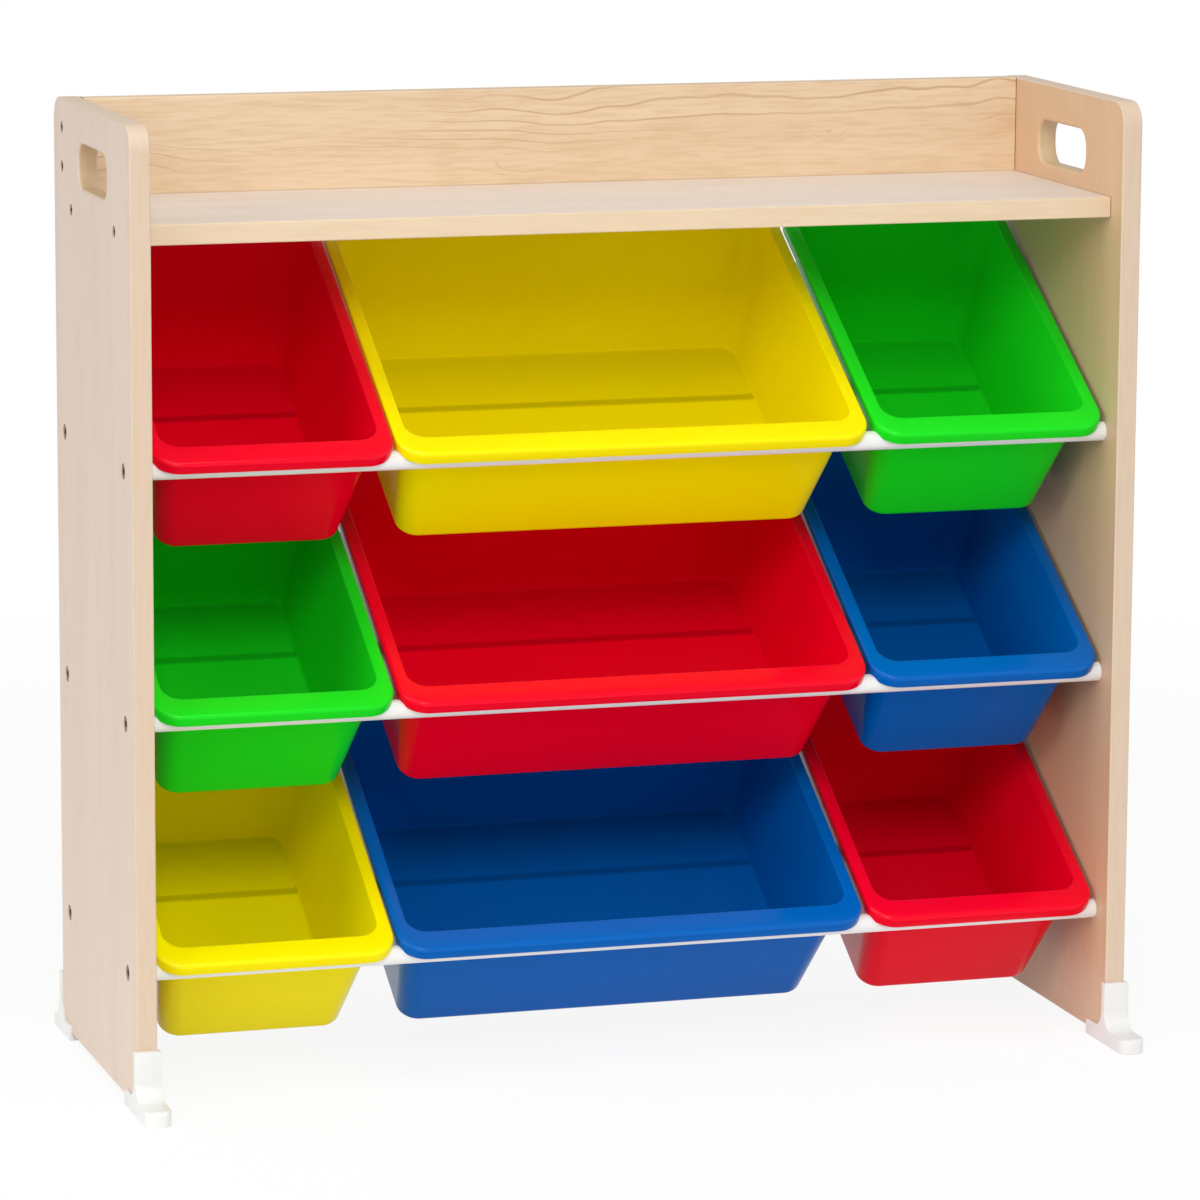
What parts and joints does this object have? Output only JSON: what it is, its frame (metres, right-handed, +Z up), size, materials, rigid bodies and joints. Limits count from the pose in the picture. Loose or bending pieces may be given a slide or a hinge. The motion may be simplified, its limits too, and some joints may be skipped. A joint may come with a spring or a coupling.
{
  "type": "toy storage organizer with bins",
  "caption": "Open wooden toy organizer with a top shelf, low back board, handle slots, white rods and white feet, and tilted plastic bins in four colours that lift off the rods.",
  "frame": {"origin": "on the floor under the middle of the unit", "axes": "+X to the right as seen from the front, +Y to the back, +Z up"},
  "size_m": [0.865, 0.363, 0.8022],
  "materials": {
    "maple_board": "maple laminate, satin",
    "white_tube": "white powder coat, satin",
    "white_foot": "white moulded plastic, satin",
    "rod_plug": "white moulded plastic, plain",
    "screw_steel": "dark bronze plating",
    "bin_red": "red moulded polypropylene, satin gloss",
    "bin_yellow": "yellow moulded polypropylene, satin gloss",
    "bin_green": "green moulded polypropylene, satin gloss",
    "bin_blue": "blue moulded polypropylene, satin gloss"
  },
  "bodies": {
    "organizer_frame": {"left_side_panel": "maple_board", "right_side_panel": "maple_board", "top_shelf": "maple_board", "back_board": "maple_board", "front_rod_bottom": "white_tube", "rear_rod_bottom": "white_tube", "front_rod_middle": "white_tube", "rear_rod_middle": "white_tube", "front_rod_top": "white_tube", "rear_rod_top": "white_tube", "rod_end_plugs": "rod_plug", "rod_screws": "screw_steel", "shelf_screws": "screw_steel", "back_board_screws": "screw_steel", "foot_screws": "screw_steel", "foot_front_left": "white_foot", "foot_front_right": "white_foot", "foot_rear_left": "white_foot", "foot_rear_right": "white_foot"},
    "bin_top_left": {"bin_top_left": "bin_red"},
    "bin_top_middle": {"bin_top_middle": "bin_yellow"},
    "bin_top_right": {"bin_top_right": "bin_green"},
    "bin_middle_left": {"bin_middle_left": "bin_green"},
    "bin_middle_middle": {"bin_middle_middle": "bin_red"},
    "bin_middle_right": {"bin_middle_right": "bin_blue"},
    "bin_bottom_left": {"bin_bottom_left": "bin_yellow"},
    "bin_bottom_middle": {"bin_bottom_middle": "bin_blue"},
    "bin_bottom_right": {"bin_bottom_right": "bin_red"}
  },
  "joints": [
    {"name": "bin_top_left_lift", "type": "hinge", "parent": "organizer_frame", "child": "bin_top_left", "pos_m": [-0.308, 0.102, 0.6248], "axis": [-1, 0, 0], "range_deg": [0, 24]},
    {"name": "bin_top_middle_lift", "type": "hinge", "parent": "organizer_frame", "child": "bin_top_middle", "pos_m": [-0.002, 0.102, 0.6248], "axis": [-1, 0, 0], "range_deg": [0, 24]},
    {"name": "bin_top_right_lift", "type": "hinge", "parent": "organizer_frame", "child": "bin_top_right", "pos_m": [0.308, 0.102, 0.6248], "axis": [-1, 0, 0], "range_deg": [0, 24]},
    {"name": "bin_middle_left_lift", "type": "hinge", "parent": "organizer_frame", "child": "bin_middle_left", "pos_m": [-0.308, 0.102, 0.4188], "axis": [-1, 0, 0], "range_deg": [0, 24]},
    {"name": "bin_middle_middle_lift", "type": "hinge", "parent": "organizer_frame", "child": "bin_middle_middle", "pos_m": [0, 0.102, 0.4188], "axis": [-1, 0, 0], "range_deg": [0, 24]},
    {"name": "bin_middle_right_lift", "type": "hinge", "parent": "organizer_frame", "child": "bin_middle_right", "pos_m": [0.308, 0.102, 0.4188], "axis": [-1, 0, 0], "range_deg": [0, 24]},
    {"name": "bin_bottom_left_lift", "type": "hinge", "parent": "organizer_frame", "child": "bin_bottom_left", "pos_m": [-0.308, 0.102, 0.2128], "axis": [-1, 0, 0], "range_deg": [0, 24]},
    {"name": "bin_bottom_middle_lift", "type": "hinge", "parent": "organizer_frame", "child": "bin_bottom_middle", "pos_m": [-0.001, 0.102, 0.2128], "axis": [-1, 0, 0], "range_deg": [0, 24]},
    {"name": "bin_bottom_right_lift", "type": "hinge", "parent": "organizer_frame", "child": "bin_bottom_right", "pos_m": [0.308, 0.102, 0.2128], "axis": [-1, 0, 0], "range_deg": [0, 24]}
  ]
}
